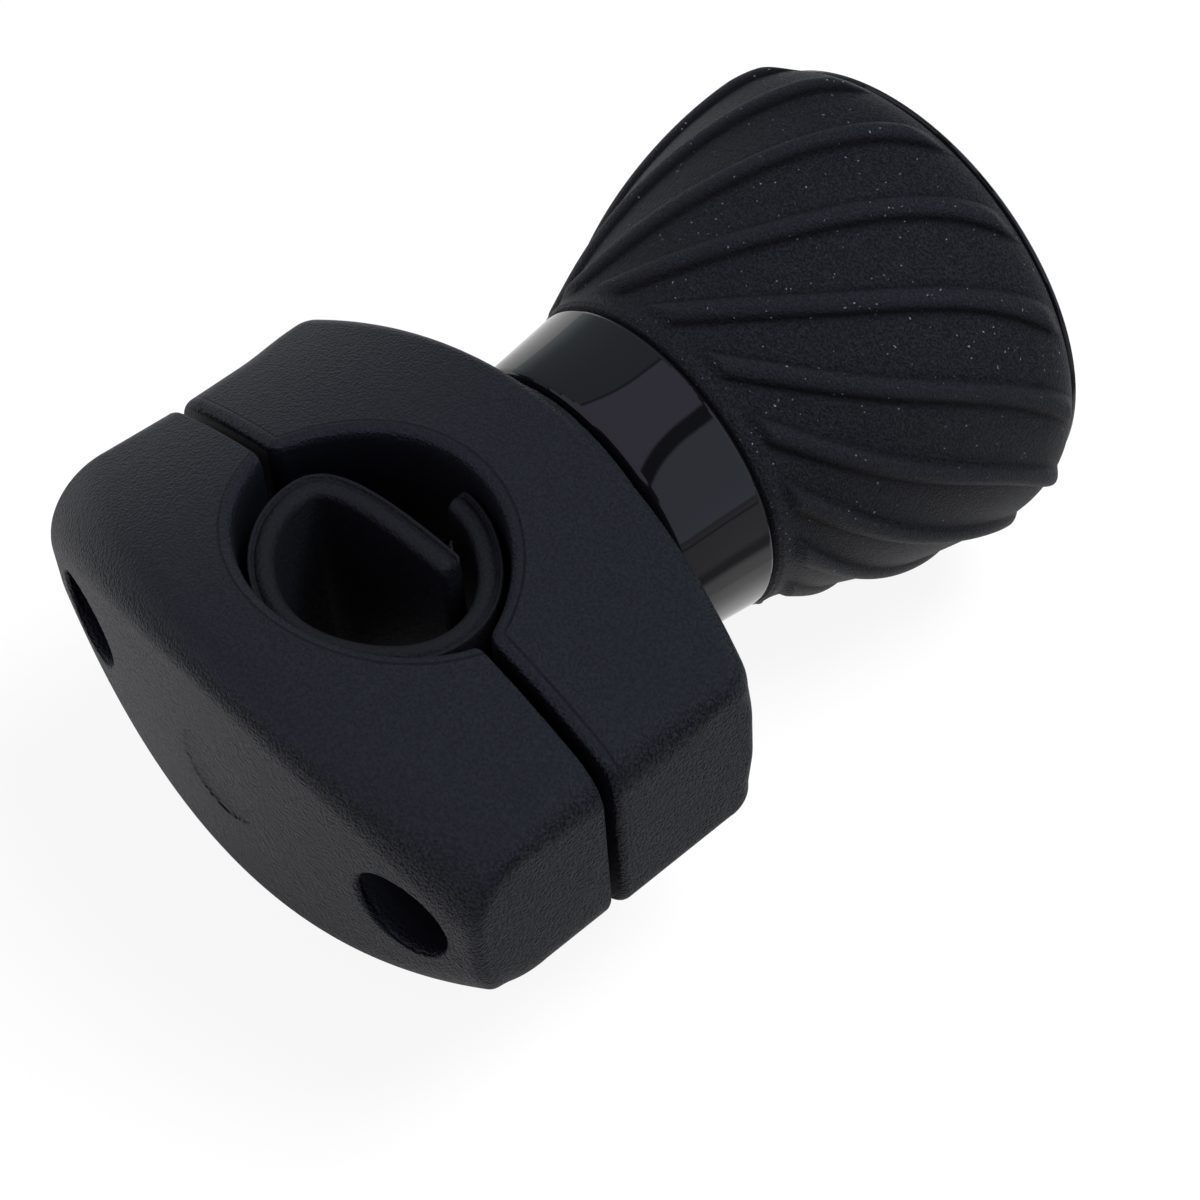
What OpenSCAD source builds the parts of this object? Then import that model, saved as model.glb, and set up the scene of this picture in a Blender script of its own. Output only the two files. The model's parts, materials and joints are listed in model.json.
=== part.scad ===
// Steering wheel spinner knob: a split clamp for a wheel rim that carries a free-turning ribbed grip.
// The origin is the middle of the clamp's bore, on the parting plane. X runs across the two
// screw holes, Y runs out along the spindle towards the grip, and Z runs along the bore.

/* [Clamp] */
// Width of the clamp across its two flat ends
clamp_w = 77; // [74:0.5:90]
// Thickness of the clamp at its middle, top to bottom
clamp_t = 43.4; // [40:0.2:50]
// How far the cap's crown reaches in front of the parting plane
cap_depth = 25.2; // [24:0.2:30]
// How far the base reaches behind the parting plane
base_depth = 27; // [26.6:0.2:34]
// Radius of the bowed front face, seen from above
face_r = 140; // [100:1:180]
// Radius of the bowed back face, seen from above
back_face_r = 136; // [100:1:180]
// Radius of the arched top and bottom, seen from the front
crown_r = 86; // [80:1:140]
// Rounding where the top and bottom run into the ends
end_corner_r = 7; // [5:0.5:10]
// Soft rounding where the top and bottom run into the front face
front_edge_r = 8; // [4:0.5:10]
// Rounding of all other outer edges
edge_r = 1.6; // [1:0.2:4]
// Gap between the cap and the base
parting_gap = 1.5; // [1:0.1:3]
// Width of the blank round recess on the cap's crown
recess_d = 12.5; // [8:0.5:16]
// Depth of that recess
recess_depth = 0.6; // [0.3:0.1:2]

/* [Rim bore] */
// Radius of the bore's two arcs
bore_r = 19.6; // [17:0.1:20.4]
// How far each arc's centre lies beyond the parting plane
bore_offset = 5.5; // [3:0.1:7]
// Rounding of the bore's lips
lip_r = 1.6; // [0.8:0.1:2.2]

/* [Clamp screws] */
// Nominal diameter of the clamp screws
screw_d = 6; // [5:0.5:6]
// Play round a screw in its hole
screw_play = 0.6; // [0.3:0.1:1]
// Width of the counterbore for a screw's head
head_bore_d = 12; // [11:0.5:12.5]
// Wall between each counterbore and the clamp's end
end_wall = 4.1; // [3:0.1:5]
// Depth of the small slope round each counterbore's mouth
head_bore_slope = 1; // [0.4:0.1:1.5]
// Distance from the parting plane to the seat of a screw's head
head_seat = 13.5; // [11:0.5:15]
// Distance from the parting plane to the seat of a nut
nut_seat = 11.3; // [9:0.1:13]
// Width of a nut across its flats
nut_af = 10; // [8:0.5:10]
// Height of a nut
nut_h = 5; // [4:0.1:6]

/* [Rim liner] */
// Thickness of the rubber strip
liner_t = 3; // [2:0.1:3.2]
// Height of the strip along the bore
liner_h = 34; // [24:1:36]

/* [Spindle] */
// Diameter of the spindle bolt's shank
spindle_d = 8; // [6:0.5:8]
// How far the shank runs past its lock nut
spindle_past = 2.3; // [1:0.1:4]
// Width of the bolt's head across its flats
spindle_af = 13; // [12:0.5:14]
// Height of the bolt's head
spindle_head_h = 5.3; // [4:0.1:5.5]
// How far the bolt's head is sunk below the bore's wall
head_sink = 0.3; // [0.1:0.1:1]
// How far the round boss stands out behind the base
boss_h = 1.3; // [0.8:0.1:2]
// Depth of the flat seat milled into the boss
seat_depth = 1.1; // [0.5:0.1:1.5]
// Radius of that seat
seat_r = 9.5; // [8.5:0.1:12]
// Thickness of the washer between the base and the lower bearing
washer_t = 1.6; // [1:0.1:2]
// Height of the spindle's lock nut
lock_nut_h = 8; // [6:0.1:9]

/* [Bearings] */
// Outer diameter of a bearing
bearing_od = 22; // [21:0.5:24]
// Width of a bearing
bearing_w = 7; // [6:0.1:8]
// Diameter of a ball
ball_d = 3.969; // [3:0.001:4.2]
// Number of balls in a bearing
ball_count = 7; // [5:1:8]
// Length of the spacer between the bearings
spacer_l = 15; // [12:0.5:17]

/* [Knob] */
// Gap between the clamp's boss and the knob's neck
neck_gap = 0.4; // [0.3:0.1:2]
// Radius of the neck beside the clamp
neck_r = 19.7; // [18:0.1:20.5]
// Radius of the neck beside the grip
collar_r = 21.2; // [20:0.1:23]
// Length of the neck
neck_l = 12.9; // [11:0.1:16]
// Rounding of the neck's edge beside the clamp
neck_edge_r = 1.4; // [0.5:0.1:3]
// Rounding of the neck's edge beside the grip
collar_edge_r = 0.8; // [0.3:0.1:2]
// Length of the rubber grip
grip_l = 40.8; // [38:0.5:46]
// Thickness of the rubber
grip_t = 2.6; // [2:0.1:3.5]
// Radius of the grip at its outer end
grip_end_r = 29.9; // [28:0.1:32]
// Number of spiral ribs on the grip
rib_count = 15; // [10:1:18]
// Height of a rib
rib_h = 1; // [0.5:0.1:1.5]
// Width of a rib, across its slant
rib_w = 2.9; // [2.2:0.1:4]
// Turn of a rib over the grip's whole length, in degrees
rib_turn = 78.5; // [45:0.5:95]
// Wall of the moulded core
core_wall = 3; // [2:0.1:4]
// Number of webs inside the core
web_count = 6; // [4:1:8]

/* [End cap] */
// How far the end cap's lip stands out beyond the rubber's end
lip_overhang = 0.1; // [0:0.1:1]
// Thickness of the end cap's lip
lip_disc_t = 0.8; // [0.6:0.1:2]
// Width of the lip round the bright disc
lip_border = 3; // [2:0.1:6]
// How far the bright disc's dome rises
disc_rise = 1; // [0.4:0.1:2]

/* [Hidden] */

// Colours
housing_colour = "#2b2c31";
rubber_colour = "#1c1d21";
gloss_colour = "#111114";
steel_colour = "#b9bcc0";
cage_colour = "#8f7a4c";
disc_colour = "#d3d6da";

// Small clearances, and a reach beyond every solid for the tools that cut
fit = 0.05;
face_gap = 0.2;
skin_gap = 0.02;
liner_clear = 0.3;
far = 60;

// Facets of the clamp's blank: along the bowed faces, over the arches and round the edges
outline_steps = 14;
arch_steps = 7;
corner_steps = 5;
edge_facets = 16;
front_edge_facets = 28;

// Clamp screws
half_gap = parting_gap / 2;
half_t = clamp_t / 2;
screw_x = clamp_w / 2 - end_wall - head_bore_d / 2;
screw_hole_d = screw_d + screw_play;
nut_pocket_af = nut_af + 2 * fit;
nut_thread_r = 0.415 * screw_d;

// Places along the spindle
bore_top = bore_r - bore_offset;
boss_y = base_depth + boss_h;
boss_r = neck_r - 0.1;
seat_y = boss_y - seat_depth;
head_y = bore_top + head_sink + spindle_head_h;
lower_y = seat_y + washer_t;
spacer_y = lower_y + bearing_w;
upper_y = spacer_y + spacer_l;
nut_washer_y = upper_y + bearing_w;
lock_nut_y = nut_washer_y + washer_t;
spindle_end_y = lock_nut_y + lock_nut_h + spindle_past;
spindle_l = spindle_end_y - head_y;
spindle_hole_d = spindle_d + 0.4;
washer_od = 2 * spindle_d;
shim_od = 1.5 * spindle_d;

// Bearing sections
pitch_r = (spindle_d + bearing_od) / 4 + 0.05;
ball_r = ball_d / 2;
groove_r = ball_r + 0.08;
inner_race_r = pitch_r - 0.3 * ball_d - 0.3;
outer_race_r = pitch_r + 0.3 * ball_d + 0.3;
cage_t = 0.9;
cage_edge = 0.5;
race_bore_r = spindle_d / 2 + 0.02;
seat_bore_r = bearing_od / 2 + 0.02;
shoulder = 1.4;

// Places along the knob
neck_y = boss_y + neck_gap;
collar_y = neck_y + neck_l;
grip_y = collar_y + face_gap;
grip_end_y = grip_y + grip_l;
cap_y = grip_end_y + face_gap;
hub_r = bearing_od / 2 + core_wall;
ring_t = 1;
ring_depth = 0.9;
ring_inner_r = bearing_od / 2 - 1.2;
hub_top_y = nut_washer_y + ring_t + 1.6;
cavity_y = collar_y + 1;
web_t = 2;
web_sink = 1;
cap_spigot_h = 6;
cap_spigot_t = 2;
cap_plate_t = 2.4;
disc_seat = 0.5 * lip_disc_t;
lip_disc_r = grip_end_r + lip_overhang;
disc_r = lip_disc_r - lip_border;

// Sampling of the grip's skin: points across one rib's pitch, rings along the grip, and the first rib's place
columns = 8;
rings = 22;
profile_steps = 16;
rib_start = -13.3;

// The ribs turn fastest near the neck, then ease, rise bluntly above it and fade out before the end
rib_lead = 2.09;
rib_ease = 2.46;
rib_rise_from = 0.06;
rib_rise_over = 0.07;
rib_fade_to = 0.97;
rib_fade_over = 0.1;

// A rib's section, as places in half widths and the height at each, and the most of a pitch that it takes
rib_places = [-1, -0.62, 0, 0.62, 1];
rib_heights = [0, 0.8, 1, 0.8, 0, 0, 0, 0];
rib_most = 0.85;
slant_step = 0.02;

// The grip's profile runs on one curve up the flank and on a second one over the shoulder
grip_start_r = collar_r + 0.4;
shoulder_y = grip_y + 0.85 * grip_l;
shoulder_r = grip_end_r + 2;
shoulder_at = 0.7;
flank_hold = [grip_y + 0.16 * grip_l, grip_start_r];
flank_pull = [grip_y + 0.302 * grip_l, shoulder_r - 2.97];
shoulder_hold = [shoulder_y + 3, shoulder_r + 0.2];
shoulder_pull = [grip_end_y - 0.8, grip_end_r + 1.3];

function bezier(a, b, c, d, t) =
    pow(1 - t, 3) * a + 3 * t * pow(1 - t, 2) * b + 3 * t * t * (1 - t) * c + pow(t, 3) * d;

function grip_point(t) = t < shoulder_at
    ? bezier([grip_y, grip_start_r], flank_hold, flank_pull, [shoulder_y, shoulder_r], t / shoulder_at)
    : bezier([shoulder_y, shoulder_r], shoulder_hold, shoulder_pull, [grip_end_y, grip_end_r],
        (t - shoulder_at) / (1 - shoulder_at));

// Points on an arc, for outlines
function arc(centre, r, from, to, steps) =
    [for (i = [0 : steps]) let (a = from + (to - from) * i / steps) centre + r * [cos(a), sin(a)]];

// Turns a shape made about Z so that it stands along the spindle from y
module along_spindle(y = 0) {
    translate([0, y, 0]) rotate([-90, 0, 0]) children();
}

module tube(outer_r, inner_r, h) {
    difference() {
        cylinder(r = outer_r, h = h, $fn = 96);
        translate([0, 0, -1]) cylinder(r = inner_r, h = h + 2, $fn = 96);
    }
}

module hexagon(af, h) {
    cylinder(d = af / cos(30), h = h, $fn = 6);
}

// Clamp blank. Seen from above it has bowed front and back faces and flat ends; seen from the front
// its top and bottom are arched and run round into the ends. All other edges take the small rounding
module clamp_plan(inset) {
    half_w = clamp_w / 2 - inset;
    front_r = face_r - inset;
    back_r = back_face_r - inset;
    front_swing = asin(half_w / front_r);
    back_swing = asin(half_w / back_r);
    polygon(concat(
        arc([0, face_r - cap_depth], front_r, 270 - front_swing, 270 + front_swing, outline_steps),
        arc([0, base_depth - back_face_r], back_r, 90 - back_swing, 90 + back_swing, outline_steps)));
}

// Quarter of the front view: the arch, then the corner's rounding, then down the end
module clamp_front_view(inset) {
    half_w = clamp_w / 2 - inset;
    arch_r = crown_r - inset;
    corner_r = end_corner_r - inset;
    drop = crown_r - clamp_t / 2;
    swing = asin((half_w - corner_r) / (arch_r - corner_r));
    corner = [half_w - corner_r, (arch_r - corner_r) * cos(swing) - drop];
    for (flip_x = [0, 1], flip_z = [0, 1]) mirror([flip_x, 0]) mirror([0, flip_z])
        polygon(concat([[0, 0]],
            arc([0, -drop], arch_r, 90, 90 - swing, arch_steps),
            arc(corner, corner_r, 90 - swing, 0, corner_steps),
            [[half_w, 0]]));
}

module clamp_blank() {
    minkowski() {
        intersection() {
            translate([0, 0, -half_t]) linear_extrude(clamp_t) clamp_plan(edge_r);
            translate([0, far, 0]) rotate([90, 0, 0]) linear_extrude(2 * far) clamp_front_view(edge_r);
        }
        sphere(r = edge_r, $fn = edge_facets);
    }
}

// Bowed front and arched top and bottom with the soft rounding between them, running on past the ends
// by the width of that rounding
module soft_front() {
    reach = clamp_w / 2;
    front_r = face_r - front_edge_r;
    front_swing = asin(reach / front_r);
    arch_r = crown_r - front_edge_r;
    arch_swing = asin(reach / arch_r);
    minkowski() {
        intersection() {
            translate([0, 0, -half_t]) linear_extrude(clamp_t) polygon(concat(
                arc([0, face_r - cap_depth], front_r, 270 - front_swing, 270 + front_swing, outline_steps),
                [[reach, front_edge_r], [-reach, front_edge_r]]));
            translate([0, far, 0]) rotate([90, 0, 0]) linear_extrude(2 * far) for (flip = [0, 1])
                mirror([0, flip]) polygon(concat([[-reach, 0], [reach, 0]],
                    arc([0, half_t - crown_r], arch_r, 90 - arch_swing, 90 + arch_swing, 2 * arch_steps)));
        }
        sphere(r = front_edge_r, $fn = front_edge_facets);
    }
}

// One arc of the bore, with its rounded lips at the top and bottom
module bore_cut(centre_y) {
    lip_z = half_t - pow(bore_r / 2, 2) / (2 * crown_r);
    translate([0, centre_y, 0]) {
        translate([0, 0, -far / 2]) cylinder(r = bore_r, h = far, $fn = 180);
        for (flip = [0, 1]) mirror([0, 0, flip]) translate([0, 0, lip_z]) rotate_extrude($fn = 180)
            difference() {
                translate([bore_r - 1, -lip_r]) square([lip_r + 1, lip_r + 2]);
                translate([bore_r + lip_r, -lip_r]) circle(r = lip_r, $fn = 48);
            }
    }
}

module screw_holes(from_y, to_y) {
    for (side = [-1, 1]) translate([side * screw_x, from_y, 0])
        rotate([-90, 0, 0]) cylinder(d = screw_hole_d, h = to_y - from_y, $fn = 64);
}

// Round boss behind the base, as wide as the knob's neck, with a softly rounded rim
module boss() {
    root = 4;
    rim_r = 0.5;
    along_spindle(base_depth - root) rotate_extrude($fn = 180) polygon(concat(
        [[0, 0], [boss_r, 0]],
        arc([boss_r - rim_r, root + boss_h - rim_r], rim_r, 0, 90, 4),
        [[0, root + boss_h]]));
}

module clamp_base() {
    color(housing_colour) difference() {
        union() {
            intersection() {
                clamp_blank();
                translate([-far, half_gap, -far]) cube([2 * far, far, 2 * far]);
            }
            boss();
        }
        bore_cut(-bore_offset);
        screw_holes(0, nut_seat + 1);
        for (side = [-1, 1]) translate([side * screw_x, nut_seat, 0])
            rotate([-90, 0, 0]) hexagon(nut_pocket_af, far);
        along_spindle(seat_y) cylinder(r = seat_r, h = far, $fn = 96);
        along_spindle(0) cylinder(d = spindle_hole_d, h = far, $fn = 64);
        along_spindle(0) hexagon(spindle_af + 4 * fit, head_y);
    }
}

module clamp_cap() {
    crown_y = cap_depth - pow(recess_d / 2, 2) / (2 * face_r);
    face_y = cap_depth - pow(screw_x, 2) / (2 * face_r);
    color(housing_colour) difference() {
        intersection() {
            clamp_blank();
            soft_front();
            translate([-far, -half_gap - far, -far]) cube([2 * far, far, 2 * far]);
        }
        bore_cut(bore_offset);
        screw_holes(-far, 0);
        for (side = [-1, 1]) translate([side * screw_x, -far, 0]) rotate([-90, 0, 0]) {
            cylinder(d = head_bore_d, h = far - head_seat, $fn = 96);
            translate([0, 0, far - face_y - head_bore_slope])
                cylinder(r1 = head_bore_d / 2 + 2 * head_bore_slope, r2 = head_bore_d / 2,
                    h = 2 * head_bore_slope, $fn = 96);
        }
        translate([0, recess_depth - crown_y, 0]) rotate([90, 0, 0])
            cylinder(d = recess_d, h = far, $fn = 96);
    }
}

// Rubber strip, coiled loosely in the bore. Its outer end starts behind the middle of the base's wall,
// it runs clockwise round the bore to the left, bends over there and its inner end cuts straight across
coil_r = bore_top - liner_clear - liner_t / 2;
coil_bulge_left = 1.4;
coil_bulge_right = 2.3;
bend_x = coil_r + coil_bulge_left;
bend_hold = [-bend_x - 0.2, 3.8];
bend_pull = [-0.71 * bend_x, 0.45 * coil_r];
liner_tip = [0.57 * coil_r, 0.45 * coil_r];

function coil_point(a) =
    (coil_r + (cos(a) > 0 ? coil_bulge_right : coil_bulge_left) * pow(cos(a), 4)) * [cos(a), sin(a)];

function liner_route() = concat(
    [for (a = [93 : -9 : -177]) coil_point(a)],
    [for (t = [0 : 0.0625 : 1]) bezier([-bend_x, 0], bend_hold, bend_pull, liner_tip, t)]);

function direction(points, i) =
    let (a = points[max(i - 1, 0)], b = points[min(i + 1, len(points) - 1)]) (b - a) / norm(b - a);

function side_point(points, i, reach) =
    let (d = direction(points, i)) points[i] + reach * [-d[1], d[0]];

module rim_liner() {
    route = liner_route();
    last = len(route) - 1;
    color(rubber_colour) translate([0, 0, -liner_h / 2]) linear_extrude(liner_h) polygon(concat(
        [for (i = [0 : last]) side_point(route, i, liner_t / 2)],
        [for (i = [last : -1 : 0]) side_point(route, i, -liner_t / 2)]));
}

// Captive nuts for the clamp screws
module clamp_nut(side) {
    color(steel_colour) translate([side * screw_x, nut_seat, 0]) rotate([-90, 0, 0]) difference() {
        intersection() {
            hexagon(nut_af, nut_h);
            nut_chamfer(nut_af, nut_h);
        }
        translate([0, 0, -1]) cylinder(r = nut_thread_r, h = nut_h + 2, $fn = 64);
    }
}

// Rounds off the corners of a nut or a bolt's head at both ends
module nut_chamfer(af, h) {
    corner_r = af / 2 / cos(30);
    flat_r = 0.97 * af / 2;
    slope_h = 0.6 * (corner_r - af / 2);
    rotate_extrude($fn = 96) polygon([[0, 0], [flat_r, 0], [corner_r, slope_h],
        [corner_r, h - slope_h], [flat_r, h], [0, h]]);
}

// Spindle bolt, held by its head in the base, with its point rounded off
module spindle_bolt() {
    tip = 0.8;
    color(steel_colour) {
        along_spindle(head_y - spindle_head_h) intersection() {
            hexagon(spindle_af, spindle_head_h);
            nut_chamfer(spindle_af, spindle_head_h);
        }
        along_spindle(head_y) cylinder(d = spindle_d, h = spindle_l - tip, $fn = 96);
        along_spindle(spindle_end_y - tip)
            cylinder(d1 = spindle_d, d2 = spindle_d - 2 * tip, h = tip, $fn = 96);
    }
}

module spindle_washer() {
    color(steel_colour) along_spindle(seat_y) tube(shim_od / 2, race_bore_r, washer_t);
}

module nut_washer() {
    color(steel_colour) along_spindle(nut_washer_y) tube(washer_od / 2, race_bore_r, washer_t);
}

module bearing_spacer() {
    color(steel_colour) along_spindle(spacer_y) tube(shim_od / 2, race_bore_r, spacer_l);
}

// Lock nut: a hexagon with a round collar over its locking insert
module lock_nut() {
    collar_h = 0.25 * lock_nut_h;
    insert_r = 0.46 * spindle_af;
    hex_h = lock_nut_h - collar_h;
    color(steel_colour) along_spindle(lock_nut_y) difference() {
        union() {
            intersection() {
                hexagon(spindle_af, hex_h);
                nut_chamfer(spindle_af, hex_h);
            }
            translate([0, 0, hex_h - 0.01]) cylinder(r = insert_r, h = collar_h, $fn = 96);
        }
        translate([0, 0, -1]) cylinder(r = race_bore_r, h = lock_nut_h + 2, $fn = 96);
    }
}

// Deep-groove ball bearing, as its races, its balls and its cage
module ball_groove(r) {
    translate([0, 0, bearing_w / 2]) rotate_extrude($fn = 96) translate([pitch_r, 0]) circle(r = r, $fn = 48);
}

module inner_race(y) {
    color(steel_colour) along_spindle(y) difference() {
        tube(inner_race_r, race_bore_r, bearing_w);
        ball_groove(groove_r);
    }
}

module outer_race(y) {
    color(steel_colour) along_spindle(y) difference() {
        tube(bearing_od / 2, outer_race_r, bearing_w);
        ball_groove(groove_r);
    }
}

module balls(y) {
    color(steel_colour) along_spindle(y + bearing_w / 2) for (i = [0 : ball_count - 1])
        rotate([0, 0, 360 * i / ball_count]) translate([pitch_r, 0, 0]) sphere(r = ball_r, $fn = 48);
}

module cage(y) {
    cage_h = ball_d + 2 * cage_edge;
    color(cage_colour) difference() {
        along_spindle(y + (bearing_w - cage_h) / 2) tube(pitch_r + cage_t / 2, pitch_r - cage_t / 2, cage_h);
        along_spindle(y + bearing_w / 2) for (i = [0 : ball_count - 1]) rotate([0, 90, 360 * i / ball_count])
            cylinder(r = ball_r + fit, h = pitch_r + cage_t, $fn = 48);
    }
}

// Open spring ring that keeps the upper bearing in the core, with two lugs for pliers
module bearing_ring() {
    opening = 24;
    lug_r = 1.1;
    lug_mid_r = ring_inner_r + 0.1;
    lug_turn = opening / 2 + 6;
    color(steel_colour) along_spindle(nut_washer_y) difference() {
        union() {
            rotate([0, 0, opening / 2]) rotate_extrude(angle = 360 - opening, $fn = 96)
                translate([ring_inner_r, 0]) square([bearing_od / 2 + ring_depth - ring_inner_r, ring_t]);
            for (side = [-1, 1]) rotate([0, 0, side * lug_turn])
                translate([lug_mid_r, 0, 0]) cylinder(r = lug_r, h = ring_t, $fn = 32);
        }
        for (side = [-1, 1]) rotate([0, 0, side * lug_turn])
            translate([lug_mid_r, 0, -1]) cylinder(r = 0.5 * lug_r, h = ring_t + 2, $fn = 32);
    }
}

// Moulded core: glossy neck, shell under the rubber, bearing hub and radial webs
module core_shell() {
    slope = (collar_r - neck_r) / neck_l;
    slant = atan(slope);
    neck_centre = [neck_r + neck_edge_r * (slope - 1 / cos(slant)), neck_y + neck_edge_r];
    collar_centre = [collar_r - collar_edge_r * (slope + 1 / cos(slant)), collar_y - collar_edge_r];
    rotate_extrude($fn = 180) difference() {
        polygon(concat(
            [[0, neck_y]],
            arc(neck_centre, neck_edge_r, -90, -slant, 8),
            arc(collar_centre, collar_edge_r, -slant, 90, 8),
            inner_profile(-grip_t),
            [[0, grip_end_y]]));
        polygon(concat(
            [[hub_r, cavity_y], [collar_r - grip_t - core_wall, cavity_y]],
            [for (p = inner_profile(-grip_t - core_wall)) if (p[1] > cavity_y) p],
            [[grip_end_r - grip_t - core_wall, grip_end_y + 1], [0, grip_end_y + 1], [0, hub_top_y],
                [hub_r, hub_top_y]]));
    }
}

// The grip's profile as [radius, height] points, moved in by a distance
function inner_profile(move) =
    [for (i = [0 : profile_steps]) let (p = grip_point(i / profile_steps)) [p[1] + move, p[0]]];

module knob_core() {
    color(gloss_colour) difference() {
        union() {
            along_spindle(0) core_shell();
            along_spindle(cavity_y - 1) intersection() {
                for (i = [0 : web_count - 1]) rotate([0, 0, 360 * i / web_count])
                    translate([hub_r - web_sink, -web_t / 2, 0]) cube([far, web_t, hub_top_y - cavity_y + 1]);
                translate([0, 0, -cavity_y + 1]) rotate_extrude($fn = 180)
                    polygon(concat([[0, cavity_y - 1]], inner_profile(-grip_t - web_sink), [[0, grip_end_y]]));
            }
        }
        along_spindle(neck_y - 1) cylinder(r = seat_bore_r, h = spacer_y - neck_y + 1, $fn = 96);
        along_spindle(spacer_y - 1) cylinder(r = bearing_od / 2 - shoulder, h = spacer_l + 2, $fn = 96);
        along_spindle(upper_y) cylinder(r = seat_bore_r, h = far, $fn = 96);
        along_spindle(nut_washer_y) cylinder(r = seat_bore_r + ring_depth, h = ring_t + fit, $fn = 96);
    }
}

// Rubber sleeve: a flared skin with slanted ribs that rise near the collar and fade at the shoulder
function rib_turn_at(t) =
    let (u = (grip_point(t)[0] - grip_y) / grip_l)
    rib_turn * (rib_lead * u - rib_ease * u * u + (1 - rib_lead + rib_ease) * u * u * u);

function rib_slant(t) =
    let (a = max(t - slant_step, 0), b = min(t + slant_step, 1))
    grip_point(t)[1] * (rib_turn_at(b) - rib_turn_at(a)) * PI / 180 / norm(grip_point(b) - grip_point(a));

function smooth(x) = let (c = min(max(x, 0), 1)) c * c * (3 - 2 * c);

function rib_height(t) =
    rib_h * smooth((t - rib_rise_from) / rib_rise_over) * smooth((rib_fade_to - t) / rib_fade_over);

// Across one pitch: the rib's foot, flanks and top, and then the valley
function across(k, span, pitch) =
    k < 5 ? rib_places[k] * span / 2 : span / 2 + (pitch - span) * (k - 4) / 4;

function grip_ring(t) =
    let (p = grip_point(t), pitch = 2 * PI * p[1] / rib_count,
        span = min(rib_w * sqrt(1 + pow(rib_slant(t), 2)), rib_most * pitch))
    [for (rib = [0 : rib_count - 1], k = [0 : columns - 1])
        let (turn = 360 * (rib + across(k, span, pitch) / pitch) / rib_count + rib_turn_at(t) + rib_start,
            r = p[1] + rib_heights[k] * rib_height(t))
        [r * sin(turn), p[0], r * cos(turn)]];

module grip_skin() {
    around = rib_count * columns;
    points = [for (i = [0 : rings]) each grip_ring(i / rings)];
    sides = [for (i = [0 : rings - 1], j = [0 : around - 1])
        let (a = i * around + j, b = i * around + (j + 1) % around)
        each [[b + around, b, a], [a + around, b + around, a]]];
    ends = [[for (j = [0 : around - 1]) j], [for (j = [around - 1 : -1 : 0]) rings * around + j]];
    polyhedron(points, concat(sides, ends), convexity = 4);
}

module grip_sleeve() {
    color(rubber_colour) difference() {
        grip_skin();
        along_spindle(0) rotate_extrude($fn = 180) polygon(concat(
            [[0, grip_y - 1], [grip_start_r - grip_t + skin_gap, grip_y - 1]],
            inner_profile(skin_gap - grip_t),
            [[grip_end_r - grip_t + skin_gap, grip_end_y + 1], [0, grip_end_y + 1]]));
    }
}

// End cap: a thin glossy lip over the rubber's end, a plate in the core's mouth and a spigot
module end_cap() {
    edge = 0.3 * lip_disc_t;
    spigot_r = grip_end_r - grip_t - core_wall - fit;
    color(gloss_colour) along_spindle(cap_y) difference() {
        union() {
            rotate_extrude($fn = 180) polygon([[0, 0], [lip_disc_r - edge, 0], [lip_disc_r, edge],
                [lip_disc_r, lip_disc_t - edge], [lip_disc_r - edge, lip_disc_t], [0, lip_disc_t]]);
            translate([0, 0, -cap_plate_t]) cylinder(r = spigot_r, h = cap_plate_t + 0.1, $fn = 180);
            translate([0, 0, -cap_spigot_h]) tube(spigot_r, spigot_r - cap_spigot_t, cap_spigot_h);
        }
        translate([0, 0, lip_disc_t - disc_seat]) cylinder(r = disc_r + fit, h = far, $fn = 180);
    }
}

// Plain bright disc, slightly domed
module face_disc() {
    dome_r = (pow(disc_r, 2) + pow(disc_rise, 2)) / (2 * disc_rise);
    swing = asin(disc_r / dome_r);
    color(disc_colour) along_spindle(cap_y + lip_disc_t - disc_seat) rotate_extrude($fn = 180)
        polygon(concat([[0, 0], [disc_r, 0]],
            arc([0, disc_seat + disc_rise - dome_r], dome_r, 90 - swing, 90, 12)));
}

clamp_base();
clamp_cap();
rim_liner();
clamp_nut(-1);  // nut_left
clamp_nut(1);  // nut_right
spindle_bolt();
spindle_washer();
inner_race(lower_y);  // lower_inner_race
outer_race(lower_y);  // lower_outer_race
balls(lower_y);  // lower_balls
cage(lower_y);  // lower_cage
bearing_spacer();
inner_race(upper_y);  // upper_inner_race
outer_race(upper_y);  // upper_outer_race
balls(upper_y);  // upper_balls
cage(upper_y);  // upper_cage
nut_washer();
lock_nut();
bearing_ring();
knob_core();
grip_sleeve();
end_cap();
face_disc();
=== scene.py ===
"""Looks of the spinner knob: finely rounded clamp halves, the ribbed grip, the coiled strip, the disc on the
end, finishes and light. Places and sizes are in millimetres until a mesh is made of them."""

import json
import math

import bpy
import numpy as np
from mathutils import Matrix, Vector


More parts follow.
